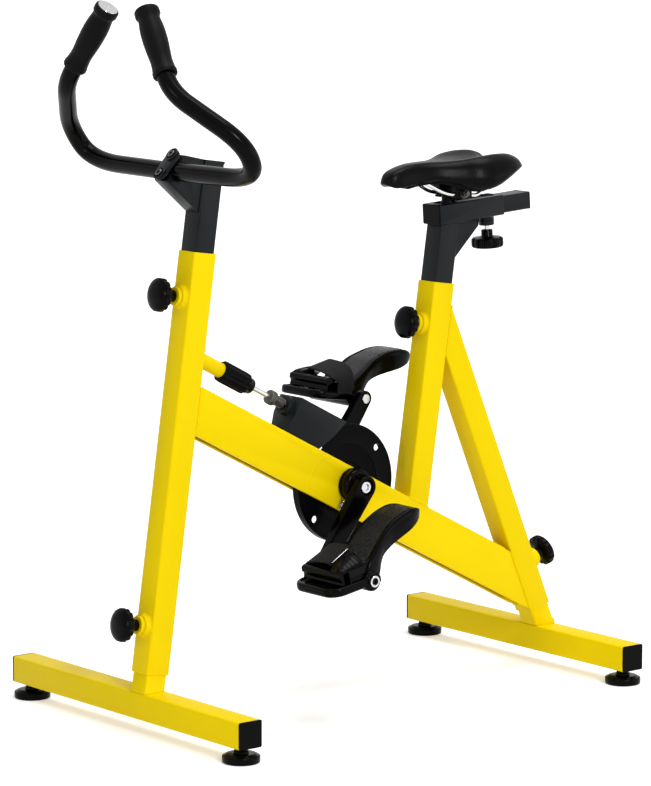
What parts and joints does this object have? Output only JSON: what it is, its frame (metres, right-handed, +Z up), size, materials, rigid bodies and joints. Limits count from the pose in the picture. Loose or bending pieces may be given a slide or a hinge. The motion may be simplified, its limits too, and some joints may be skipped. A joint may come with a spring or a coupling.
{
  "type": "aqua bike",
  "caption": "Standing exercise bike for use in water: sloping beam frame on two base bars, drum brake, telescoping handlebar and saddle, heel-arm pedals.",
  "frame": {"origin": "middle of the bounding box's footprint, on the floor", "axes": "+X to the rider's left, -Y to the front (handlebar end), +Z up"},
  "size_m": [0.645, 0.9586, 1.198],
  "materials": {
    "yellow_coat": "satin powder coat",
    "black_coat": "satin powder coat",
    "black_plastic": "gloss",
    "soft_rubber": "matt textured",
    "saddle_vinyl": "smooth vinyl cover over foam",
    "bright_steel": "bright"
  },
  "bodies": {
    "frame": {"mast_tube": "yellow_coat", "main_beam": "yellow_coat", "seat_tube": "yellow_coat", "rear_strut": "yellow_coat", "adjuster_tube": "yellow_coat", "brake_housing": "black_coat", "bearing_left": "black_plastic", "bearing_right": "black_plastic"},
    "front_base": {"front_leg_tube": "yellow_coat", "front_base_bar": "yellow_coat", "front_cap_left": "black_plastic", "front_cap_right": "black_plastic"},
    "rear_base": {"rear_leg_tube": "yellow_coat", "rear_base_bar": "yellow_coat", "rear_cap_left": "black_plastic", "rear_cap_right": "black_plastic"},
    "front_foot_left": {"front_foot_left": "black_plastic"},
    "front_foot_right": {"front_foot_right": "black_plastic"},
    "rear_foot_left": {"rear_foot_left": "black_plastic"},
    "rear_foot_right": {"rear_foot_right": "black_plastic"},
    "handlebar_post": {"handlebar_post": "black_coat", "stem_bracket": "black_coat", "stem_clamp_plate": "black_coat", "clamp_bolt_upper": "bright_steel", "clamp_bolt_lower": "bright_steel"},
    "handlebar": {"handlebar_tube": "black_coat", "grip_left": "soft_rubber", "grip_right": "soft_rubber"},
    "seat_post": {"seat_post": "black_coat", "slider_sleeve": "black_coat"},
    "saddle_slider": {"saddle_slider": "black_coat", "saddle_clamp_base": "black_plastic"},
    "saddle": {"saddle_yoke": "black_plastic", "saddle_rails": "bright_steel", "saddle_shell": "black_plastic", "saddle_pad": "saddle_vinyl"},
    "knob_mast_upper": {"knob_mast_upper": "black_plastic"},
    "knob_mast_lower": {"knob_mast_lower": "black_plastic"},
    "knob_seat_tube": {"knob_seat_tube": "black_plastic"},
    "knob_strut": {"knob_strut": "black_plastic"},
    "knob_sleeve": {"knob_sleeve": "black_plastic"},
    "crank": {"crank_axle": "bright_steel", "crank_left": "black_coat", "crank_right": "black_coat", "crank_bolt_left": "bright_steel", "crank_bolt_right": "bright_steel", "brake_drum": "black_coat", "pedal_spindle_left": "bright_steel", "pedal_spindle_right": "bright_steel"},
    "pedal_left": {"pedal_base_left": "black_plastic", "pedal_heel_pad_left": "soft_rubber", "pedal_strap_left": "soft_rubber"},
    "pedal_right": {"pedal_base_right": "black_plastic", "pedal_heel_pad_right": "soft_rubber", "pedal_strap_right": "soft_rubber"},
    "adjuster_handle": {"adjuster_handle": "black_plastic"},
    "brake_rod": {"adjuster_rod": "bright_steel", "adjuster_spring": "bright_steel", "brake_shoe": "black_plastic"}
  },
  "joints": [
    {"name": "front_leg_slide", "type": "slide", "parent": "frame", "child": "front_base", "axis": [0, -0.1466, -0.9892], "range_m": [-0.02, 0.16]},
    {"name": "rear_leg_slide", "type": "slide", "parent": "frame", "child": "rear_base", "axis": [0, 0.3901, -0.9208], "range_m": [-0.02, 0.16]},
    {"name": "front_foot_left_turn", "type": "hinge", "parent": "front_base", "child": "front_foot_left", "pos_m": [0.292, -0.41166, 0.02], "axis": [0, 0, 1], "range_deg": [-720, 720]},
    {"name": "front_foot_right_turn", "type": "hinge", "parent": "front_base", "child": "front_foot_right", "pos_m": [-0.292, -0.41166, 0.02], "axis": [0, 0, 1], "range_deg": [-720, 720]},
    {"name": "rear_foot_left_turn", "type": "hinge", "parent": "rear_base", "child": "rear_foot_left", "pos_m": [0.2621, 0.44834, 0.02], "axis": [0, 0, 1], "range_deg": [-720, 720]},
    {"name": "rear_foot_right_turn", "type": "hinge", "parent": "rear_base", "child": "rear_foot_right", "pos_m": [-0.2689, 0.44834, 0.02], "axis": [0, 0, 1], "range_deg": [-720, 720]},
    {"name": "handlebar_post_slide", "type": "slide", "parent": "frame", "child": "handlebar_post", "axis": [0, 0.1466, 0.9892], "range_m": [-0.05, 0.12]},
    {"name": "handlebar_tilt", "type": "hinge", "parent": "handlebar_post", "child": "handlebar", "pos_m": [0.0421, -0.35348, 0.92197], "axis": [1, 0, 0], "range_deg": [-15, 15]},
    {"name": "seat_post_slide", "type": "slide", "parent": "frame", "child": "seat_post", "axis": [0, 0.148, 0.989], "range_m": [-0.025, 0.12]},
    {"name": "saddle_slide", "type": "slide", "parent": "seat_post", "child": "saddle_slider", "axis": [0, 0.9979, 0.0649], "range_m": [-0.012, 0.06]},
    {"name": "saddle_tilt", "type": "hinge", "parent": "saddle_slider", "child": "saddle", "pos_m": [0.0421, 0.24458, 0.85196], "axis": [1, 0, 0], "range_deg": [-4, 10]},
    {"name": "knob_mast_upper_turn", "type": "hinge", "parent": "frame", "child": "knob_mast_upper", "pos_m": [0.0421, -0.36591, 0.72071], "axis": [0, -0.9892, 0.1466], "range_deg": [-720, 720]},
    {"name": "knob_mast_lower_turn", "type": "hinge", "parent": "frame", "child": "knob_mast_lower", "pos_m": [0.0421, -0.44523, 0.18556], "axis": [0, -0.9892, 0.1466], "range_deg": [-720, 720]},
    {"name": "knob_seat_tube_turn", "type": "hinge", "parent": "frame", "child": "knob_seat_tube", "pos_m": [0.0421, 0.14657, 0.63432], "axis": [0, -0.989, 0.148], "range_deg": [-720, 720]},
    {"name": "knob_strut_turn", "type": "hinge", "parent": "frame", "child": "knob_strut", "pos_m": [0.0421, 0.44843, 0.19897], "axis": [0, 0.9208, 0.3901], "range_deg": [-720, 720]},
    {"name": "knob_sleeve_turn", "type": "hinge", "parent": "seat_post", "child": "knob_sleeve", "pos_m": [0.0421, 0.32217, 0.76682], "axis": [0, 0.0649, -0.9979], "range_deg": [-720, 720]},
    {"name": "crank_spin", "type": "hinge", "parent": "frame", "child": "crank", "pos_m": [0.0421, -0.00046, 0.373], "axis": [1, 0, 0], "continuous": true},
    {"name": "pedal_left_spin", "type": "hinge", "parent": "crank", "child": "pedal_left", "pos_m": [0.0421, -0.09221, 0.24437], "axis": [1, 0, 0], "continuous": true},
    {"name": "pedal_right_spin", "type": "hinge", "parent": "crank", "child": "pedal_right", "pos_m": [0.0421, 0.09129, 0.50163], "axis": [1, 0, 0], "continuous": true},
    {"name": "adjuster_turn", "type": "hinge", "parent": "frame", "child": "adjuster_handle", "pos_m": [0.0421, -0.2291, 0.57226], "axis": [0, 0.8858, -0.4641], "range_deg": [-181, 721]},
    {"name": "brake_rod_slide", "type": "slide", "parent": "frame", "child": "brake_rod", "axis": [0, 0.8858, -0.4641], "range_m": [-0.0005, 0.002]}
  ],
  "couplings": [
    {"joint": "adjuster_turn", "follows": "brake_rod_slide", "rad_per_m": 6283.2}
  ]
}
